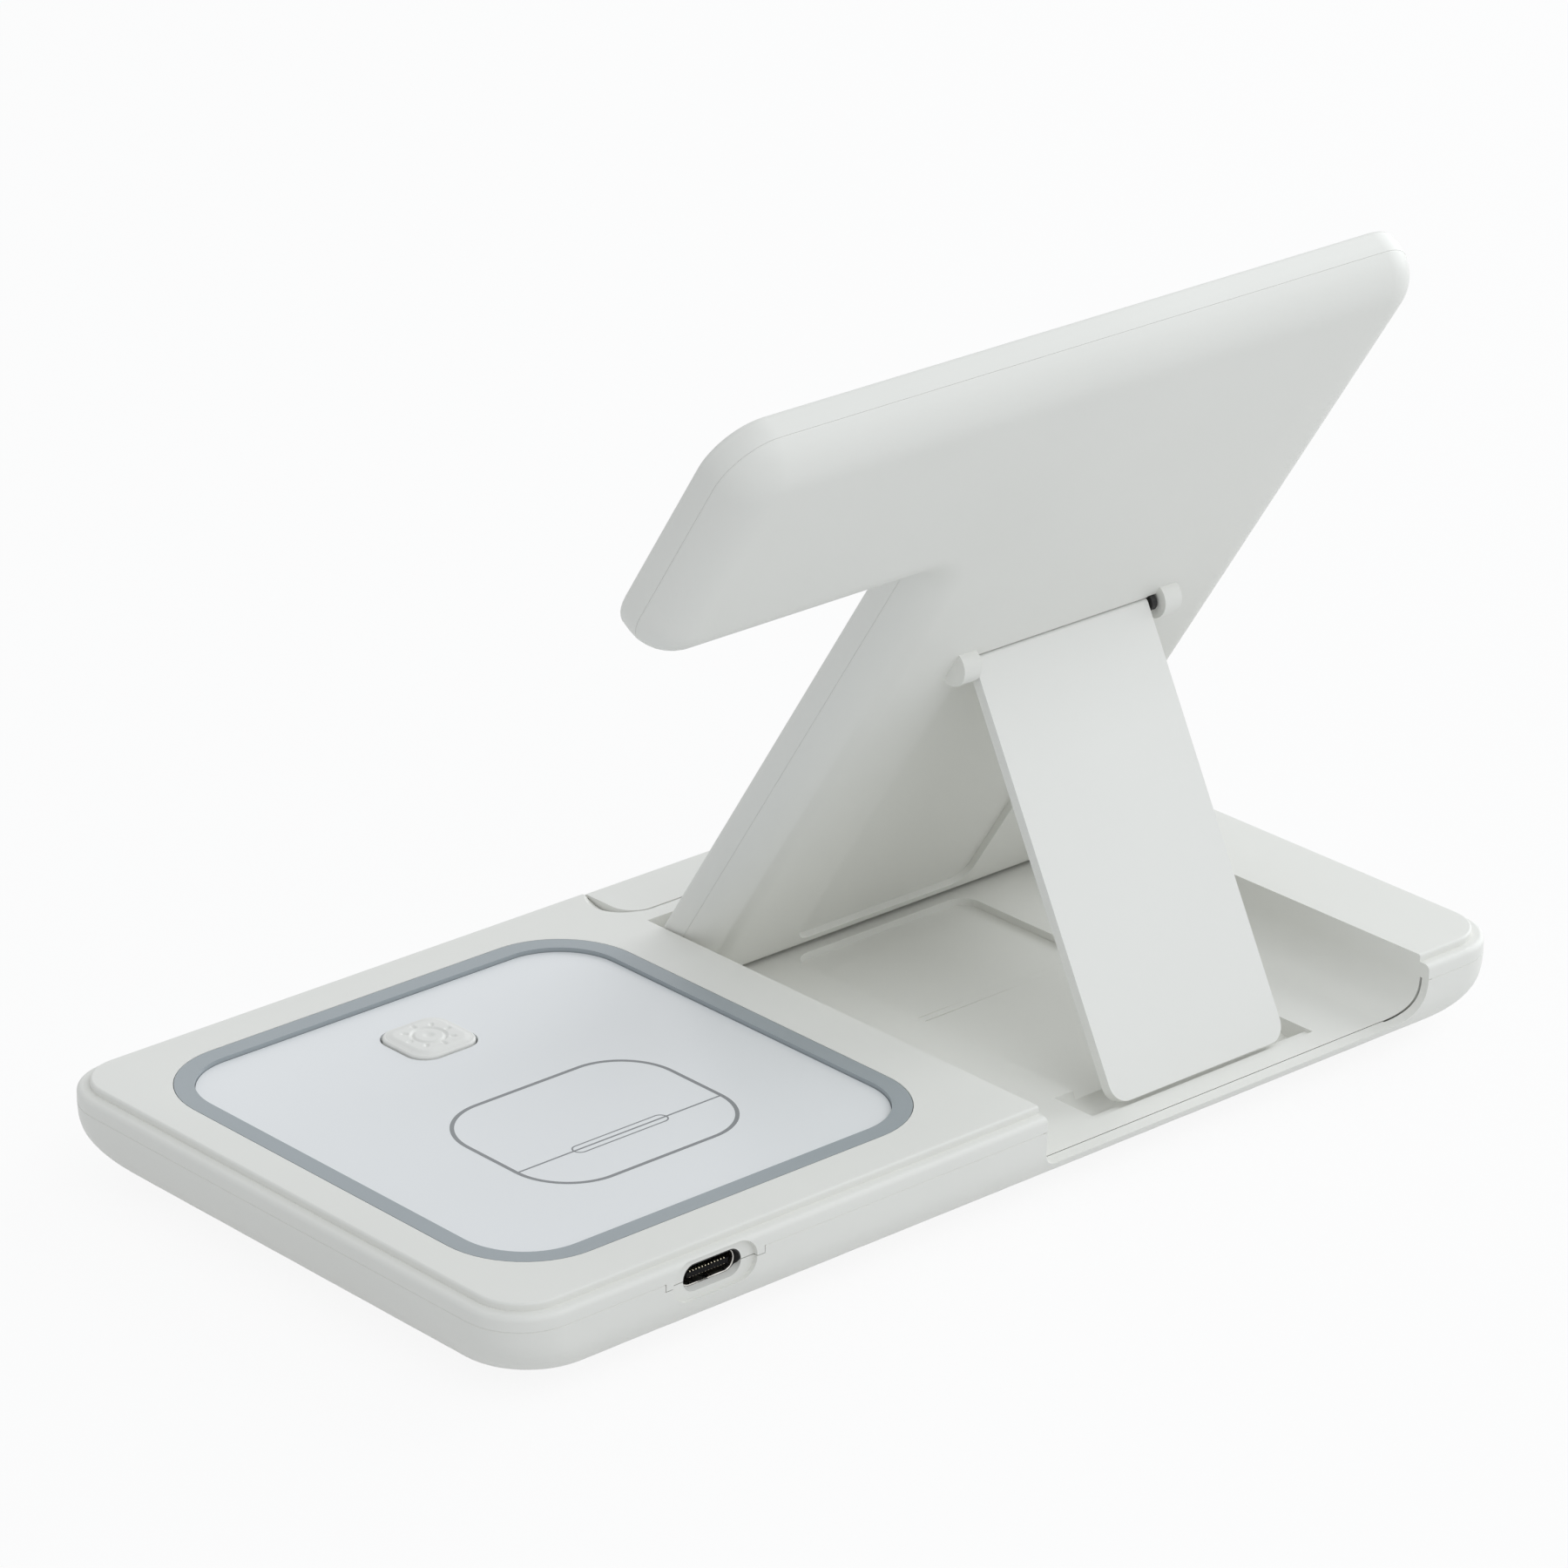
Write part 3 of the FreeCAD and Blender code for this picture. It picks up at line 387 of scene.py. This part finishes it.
# All sizes of the pieces below are in mm and all angles in degrees
# Printed earbud case on the pad: its outline, the lid's line and a pill-shaped latch
caseMark = {
    "right": 0.55, "y": -9.2, "length": 34.0, "width": 26.5, "corner": 8.6, "line": 0.55, "turns": 24,
    "lidY": -14.0, "lidLine": 0.26, "ink": 0.02,
    "pillLength": 15.3, "pillWidth": 2.15, "pillLine": 0.2, "pillTurns": 12,
}
low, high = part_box("charging_panel")
padTop = high.z / mm
caseX = (low.x + high.x) / 2 / mm + caseMark["right"]
bm = bmesh.new()
inkLine(bm, (caseX, caseMark["y"], padTop), caseMark["length"], caseMark["width"], caseMark["corner"],
        caseMark["line"], caseMark["ink"], caseMark["turns"])
inkLine(bm, (caseX, caseMark["lidY"], padTop), caseMark["pillLength"], caseMark["pillWidth"],
        caseMark["pillWidth"] / 2, caseMark["pillLine"], caseMark["ink"], caseMark["pillTurns"])
left = caseX - caseMark["length"] / 2 + caseMark["line"]
right = caseX + caseMark["length"] / 2 - caseMark["line"]
flatBar(bm, left, right, caseMark["lidY"] - caseMark["lidLine"] / 2,
        caseMark["lidY"] + caseMark["lidLine"] / 2, padTop, caseMark["ink"])
meshPiece("earbud_case_mark", bm, printGrey, "base")
print("pad mark printed")

# Button face: a slightly crowned skin with a sun sunk into it
sunMark = {
    "length": 10.3, "width": 9.8, "corner": 2.8,  # the cap that it covers
    "crown": 0.26, "edge": 0.5, "shoulder": 1.0, "cell": 0.09, "sink": 0.05,
    "ring": 2.15, "ringHalf": 0.42, "ringDeep": 0.24,
    "dotHalf": 1.0, "dotDeep": 0.25,
    "rays": 8, "rayIn": 2.9, "rayOut": 3.25, "rayHalf": 0.45, "rayDeep": 0.24,
}


def groove(away, half, deep):
    # a round-bottomed groove: full depth at its middle line, none at its half width
    return deep * (0.5 + 0.5 * cos(pi * away / half)) if away < half else 0.0


def sunHeight(x, y, rim):
    # the crown eases up from the rim, and the deepest groove at this point is taken off it
    climb = min(1.0, max(0.0, rim / sunMark["shoulder"]))
    height = sunMark["crown"] * climb * climb * (3 - 2 * climb)
    r = (x * x + y * y) ** 0.5
    sunk = max(groove(abs(r - sunMark["ring"]), sunMark["ringHalf"], sunMark["ringDeep"]),
               groove(r, sunMark["dotHalf"], sunMark["dotDeep"]))
    for i in range(sunMark["rays"]):
        a = 2 * pi * i / sunMark["rays"]
        along = x * cos(a) + y * sin(a)
        nearest = min(max(along, sunMark["rayIn"]), sunMark["rayOut"])
        away = ((x - nearest * cos(a)) ** 2 + (y - nearest * sin(a)) ** 2) ** 0.5
        sunk = max(sunk, groove(away, sunMark["rayHalf"], sunMark["rayDeep"]))
    return height - sunk


low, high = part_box("light_button")
buttonX = (low.x + high.x) / 2 / mm
buttonY = (low.y + high.y) / 2 / mm
buttonTop = high.z / mm
halfX = sunMark["length"] / 2 - sunMark["edge"]
halfY = sunMark["width"] / 2 - sunMark["edge"]
corner = sunMark["corner"] - sunMark["edge"]
bm = bmesh.new()
columns = int(2 * halfX / sunMark["cell"])
rows = int(2 * halfY / sunMark["cell"])
grid = []
for i in range(columns + 1):
    line = []
    for j in range(rows + 1):
        x = -halfX + 2 * halfX * i / columns
        y = -halfY + 2 * halfY * j / rows
        # the square grid of a corner is drawn in to fill its arc
        cx = max(abs(x) - (halfX - corner), 0.0)
        cy = max(abs(y) - (halfY - corner), 0.0)
        if cx > 0 and cy > 0:
            reach = (cx * cx + cy * cy) ** 0.5
            squeeze = max(cx, cy) / reach
            x -= (cx - cx * squeeze) * (1 if x > 0 else -1)
            y -= (cy - cy * squeeze) * (1 if y > 0 else -1)
            rim = corner - reach * squeeze
        else:
            rim = min(halfX - abs(x), halfY - abs(y))
        z = buttonTop + sunHeight(x, y, rim)
        line.append(bm.verts.new(((buttonX + x) * mm, (buttonY + y) * mm, z * mm)))
    grid.append(line)
for i in range(columns):
    for j in range(rows):
        bm.faces.new((grid[i][j], grid[i + 1][j], grid[i + 1][j + 1], grid[i][j + 1]))
# its rim turns down a little way into the cap and is closed underneath
rimLine = [line[0] for line in grid] + grid[-1][1:]
rimLine += [line[-1] for line in grid[-2::-1]] + grid[0][-2:0:-1]
under = [bm.verts.new(v.co - Vector((0, 0, sunMark["sink"] * mm))) for v in rimLine]
for i in range(len(rimLine)):
    j = (i + 1) % len(rimLine)
    bm.faces.new((rimLine[i], under[i], under[j], rimLine[j]))
bm.faces.new(under)
sun = meshPiece("sun_mark", bm, absSatin, "light_button")
# the face shades smoothly, the turned-down rim stays flat
sun.data.polygons.foreach_set("use_smooth", [i < columns * rows for i in range(len(sun.data.polygons))])
print("sun sunk into the button")

# Lower shell's lip: it closes the joint along the tray's near edge down to a fine line
trayFloor = 5.3
seamLip = {"left": 3.4, "right": 65.2, "near": -42.36, "far": -42.0, "below": 0.02, "thick": 0.5}
bm = bmesh.new()
flatBar(bm, seamLip["left"], seamLip["right"], seamLip["near"], seamLip["far"],
        trayFloor - seamLip["below"] - seamLip["thick"], seamLip["thick"])
meshPiece("tray_seam_lip", bm, absWhite, "base")
print("seam lip laid")

# Cover's lower edge: a bead in the parting notch leaves a hair line round the base's side
partingBead = {
    "length": 172.3, "width": 89.6, "corner": 8.1, "low": 10.5, "notch": 0.15, "hairLine": 0.05,
    "trayGap": (0.6, 71.3), "tabGap": (-62.3, -46.0), "turns": 16,
}


def beadRing(inset, z, start, corners, stop):
    # a line round the side, from one point of the near side past the corners to another
    halfX = partingBead["length"] / 2 - inset
    halfY = partingBead["width"] / 2 - inset
    points = [(start, -halfY)] + [(sx * halfX, sy * halfY) for sx, sy in corners] + [(stop, -halfY)]
    radii = [partingBead["corner"] - inset] * len(corners)
    return [(x, y, z) for x, y in roundedPath(points, radii, partingBead["turns"])]


bm = bmesh.new()
allCorners = [(1, -1), (1, 1), (-1, 1), (-1, -1)]
trayGap = partingBead["trayGap"]
tabGap = partingBead["tabGap"]
face = partingBead["hairLine"]
deep = partingBead["notch"] - face
section = ((face, partingBead["low"]), (face, partingBead["low"] + deep),
           (partingBead["notch"], partingBead["low"]))
for start, corners, stop in ((trayGap[1], allCorners, tabGap[0]), (tabGap[1], [], trayGap[0])):
    sweptBand(bm, [beadRing(inset, z, start, corners, stop) for inset, z in section])
meshPiece("parting_bead", bm, absWhite, "base")

# Panel's seam: a bead in the notch between its two covers, drawn lying flat and then stood up like the panel
seamBead = {
    "stem": (1.65, 70.25), "flagLeft": -46.45, "reach": 120.1, "flagBottom": 82.0, "start": -4.0,
    "inner": 3.0, "lowCorner": 7.3, "corner": 7.2, "turns": 12,
    "section": ((0.225, 0.48), (0.265, 0.30), (0.37, 0.30), (0.37, 0.48)),
    "lean": 32.6, "hinge": (26.26, 9.6),
}
stand = Matrix.Translation((0, *seamBead["hinge"])) @ Matrix.Rotation(radians(seamBead["lean"] - 90), 4, "X")


def seamRing(inset, z):
    left = seamBead["stem"][0] + inset
    right = seamBead["stem"][1] - inset
    flag = seamBead["flagLeft"] + inset
    low = -seamBead["flagBottom"] - inset
    top = -seamBead["reach"] + inset
    start = seamBead["start"]
    points = [(left, start), (left, low), (flag, low), (flag, top), (right, top), (right, start)]
    radii = [seamBead["inner"] + inset, seamBead["lowCorner"] - inset, seamBead["corner"] - inset,
             seamBead["corner"] - inset]
    return [tuple(stand @ Vector((x, y, z))) for x, y in roundedPath(points, radii, seamBead["turns"])]


bm = bmesh.new()
sweptBand(bm, [seamRing(inset, z) for inset, z in seamBead["section"]])
meshPiece("panel_seam_bead", bm, absWhite, "panel")
print("seam beads laid")

# Recess's far end: a step with rounded ends that closes the kickstand's recess short of the panel
recessStep = {"left": 19.81, "right": 51.49, "far": 25.95, "near": 23.0, "corner": 2.9, "turns": 10}
recessFloor = 4.25
r = recessStep["corner"]
leftX = recessStep["left"] + r
rightX = recessStep["right"] - r
farY = recessStep["far"] - r
nearY = recessStep["near"] - r
outline = []
for cx, cy, start, sweep in ((leftX, farY, 180, -90), (rightX, farY, 90, -90), (rightX, nearY, 0, 90),
                             (leftX, nearY, 90, 90)):
    for i in range(recessStep["turns"] + 1):
        a = radians(start + sweep * i / recessStep["turns"])
        outline.append((cx + r * cos(a), cy + r * sin(a)))
bm = bmesh.new()
lower = [bm.verts.new((x * mm, y * mm, recessFloor * mm)) for x, y in outline]
upper = [bm.verts.new((x * mm, y * mm, trayFloor * mm)) for x, y in outline]
for i in range(len(outline)):
    j = (i + 1) % len(outline)
    bm.faces.new((lower[i], lower[j], upper[j], upper[i]))
bm.faces.new(lower)
bm.faces.new(upper)
meshPiece("recess_step", bm, absWhite, "base")

# Scored lines on the recess floor: a rising sliver in each lets it fade out towards the right
scoredLines = {
    "left": 20.72, "right": 50.58, "width": 0.28, "depth": 0.15, "flush": 0.004,
    "lines": ({"y": -1.4, "start": 0.15, "fade": 38.5}, {"y": -0.1, "start": 0.12, "fade": 30.0}),
}
bm = bmesh.new()
bottom = recessFloor - scoredLines["depth"]
filled = recessFloor - scoredLines["flush"]
for line in scoredLines["lines"]:
    near = line["y"] - scoredLines["width"] / 2
    far = line["y"] + scoredLines["width"] / 2
    path = [(scoredLines["left"], recessFloor - line["start"] + scoredLines["flush"]), (line["fade"], filled),
            (scoredLines["right"], filled)]
    sweptBand(bm, [[(x, near, bottom) for x, z in path], [(x, near, z) for x, z in path],
                   [(x, far, z) for x, z in path], [(x, far, bottom) for x, z in path]])
meshPiece("scored_line_slivers", bm, absWhite, "base")
print("recess floor finished")

# Inlet's shell: folded from steel strip, with a round front edge, set back in its window
foldedShell = {
    "length": 8.94, "height": 3.26, "wall": 0.3, "setBack": 0.75, "reach": 5.3, "seam": 0.12,
    "turns": 16, "edgeTurns": 6, "offVertical": 0.01,
}
low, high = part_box("usb_c_shell")
inletX = (low.x + high.x) / 2 / mm
inletZ = (low.z + high.z) / 2 / mm
inletY = low.y / mm


def stadium(length, height, start, stop, turns):
    # points round a flat oval from one angle to another; from the front, 0 is its right end and 90 its top
    r = height / 2
    run = length / 2 - r
    points = []
    for i in range(turns + 1):
        a = radians(start + (stop - start) * i / turns)
        points.append((run * (1 if cos(a) > 0 else -1) + r * cos(a), r * sin(a)))
    return points


def inletRing(loop, y):
    return [(inletX + x, y, inletZ + z) for x, z in loop]


def foldedLoop(length, height):
    # starts and ends at the fold's open seam in the bottom; its halves stop just off the vertical
    half = foldedShell["seam"] / 2
    off = foldedShell["offVertical"]
    right = stadium(length, height, -90 + off, 90 - off, foldedShell["turns"])
    left = stadium(length, height, 90 + off, 270 - off, foldedShell["turns"])
    return [(half, -height / 2)] + right + left + [(-half, -height / 2)]


bm = bmesh.new()
length = foldedShell["length"]
height = foldedShell["height"]
wall = foldedShell["wall"]
shellFront = inletY + foldedShell["setBack"]
shellBack = shellFront + foldedShell["reach"]
section = [inletRing(foldedLoop(length, height), shellBack)]
for i in range(foldedShell["edgeTurns"] + 1):
    a = pi * i / foldedShell["edgeTurns"]
    inset = wall * (1 - cos(a))
    edgeY = shellFront + wall / 2 * (1 - sin(a))
    section.append(inletRing(foldedLoop(length - inset, height - inset), edgeY))
section.append(inletRing(foldedLoop(length - 2 * wall, height - 2 * wall), shellBack))
sweptBand(bm, section)
shellPiece = meshPiece("usb_c_shell_folded", bm, nickelSteel, "base")
# the walls shade smoothly, the cut faces at the seam stay flat
shellPiece.data.polygons.foreach_set("use_smooth", [len(p.vertices) == 4 for p in shellPiece.data.polygons])
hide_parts("usb_c_shell")

# Inlet's window: the black band of painted shade and the sill fill it round the shell, a hair clear of its
# wall
inletWindow = {"gap": 0.2, "clear": 0.01, "face": -0.15}
outLength = length + 2 * inletWindow["gap"] - 2 * inletWindow["clear"]
outHeight = height + 2 * inletWindow["gap"] - 2 * inletWindow["clear"]
faceY = inletY + inletWindow["face"]
steps = 2 * foldedShell["turns"]

# Painted shade: a black band over the shell and round its ends stands in for the shadowed gap between the
# shell and the window's wall
gapShade = {"wall": 0.16, "front": 0.05, "long": 0.95, "tail": 35}
bm = bmesh.new()
sweep = (-gapShade["tail"], 180 + gapShade["tail"])
outer = stadium(outLength, outHeight, *sweep, steps)
inner = stadium(outLength - 2 * gapShade["wall"], outHeight - 2 * gapShade["wall"], *sweep, steps)
gapShadeY = faceY + gapShade["front"]
gapShadeBack = gapShadeY + gapShade["long"]
# the front edge runs back along both tails, so the painted shade thins out to nothing
fronts = []
for i in range(steps + 1):
    a = sweep[0] + (sweep[1] - sweep[0]) * i / steps
    tail = min(1.0, max(0.0, -a, a - 180) / gapShade["tail"])
    fronts.append(gapShadeY + (gapShade["long"] - gapShade["front"]) * tail)
frontOuter = [(inletX + x, y, inletZ + z) for (x, z), y in zip(outer, fronts)]
frontInner = [(inletX + x, y, inletZ + z) for (x, z), y in zip(inner, fronts)]
sweptBand(bm, [frontOuter, inletRing(outer, gapShadeBack), inletRing(inner, gapShadeBack), frontInner])
meshPiece("inlet_painted_gap_shade", bm, blackRubber, "base")

# White sill: it slopes from the shell's lower rim out to the window's edge, and is thin at both ends
sill = {"lap": 0.12, "front": 0.03, "end": 20, "rise": 35, "thinStart": 0.5}
sweep = (180 + sill["end"], 360 - sill["end"])
outer = stadium(outLength, outHeight, *sweep, steps)
inner = stadium(length - 2 * sill["lap"], height - 2 * sill["lap"], *sweep, steps)
crest = []
for i in range(steps + 1):
    a = sweep[0] + (sweep[1] - sweep[0]) * i / steps
    rise = min(1.0, (min(a - sweep[0], sweep[1] - a) + sill["thinStart"]) / sill["rise"])
    crest.append(tuple(o + (n - o) * rise for o, n in zip(outer[i], inner[i])))
sillBack = shellFront - sill["front"]
bm = bmesh.new()
sweptBand(bm, [inletRing(outer, faceY + sill["front"]), inletRing(crest, sillBack),
               inletRing(outer, sillBack)])
meshPiece("inlet_sill", bm, absWhite, "base")

# Contacts: a row of strips with rounded tips on each side of the tongue
contacts = {
    "count": 12, "pitch": 0.5, "width": 0.26, "length": 3.4, "thick": 0.03,
    "tip": 0.2, "tipThick": 0.14, "tipAround": 12, "tipAlong": 8,
}
low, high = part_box("usb_c_tongue")
middle = (low.x + high.x) / 2 / mm
front = low.y / mm
tipY = front + contacts["tip"]
tipSize = (contacts["width"] / 2 * mm, contacts["tip"] * mm, contacts["tipThick"] * mm)
bm = bmesh.new()
for i in range(contacts["count"]):
    x = middle + (i - (contacts["count"] - 1) / 2) * contacts["pitch"]
    left = x - contacts["width"] / 2
    right = x + contacts["width"] / 2
    for z, tipZ in ((high.z / mm, high.z / mm), (low.z / mm - contacts["thick"], low.z / mm)):
        flatBar(bm, left, right, tipY, front + contacts["length"], z, contacts["thick"])
        tip = bmesh.ops.create_uvsphere(bm, u_segments=contacts["tipAround"], v_segments=contacts["tipAlong"],
                                        radius=1.0)
        bmesh.ops.scale(bm, vec=tipSize, verts=tip["verts"])
        bmesh.ops.translate(bm, vec=(x * mm, tipY * mm, tipZ * mm), verts=tip["verts"])
meshPiece("usb_c_contacts", bm, goldPlate, "base")
print("inlet fitted")
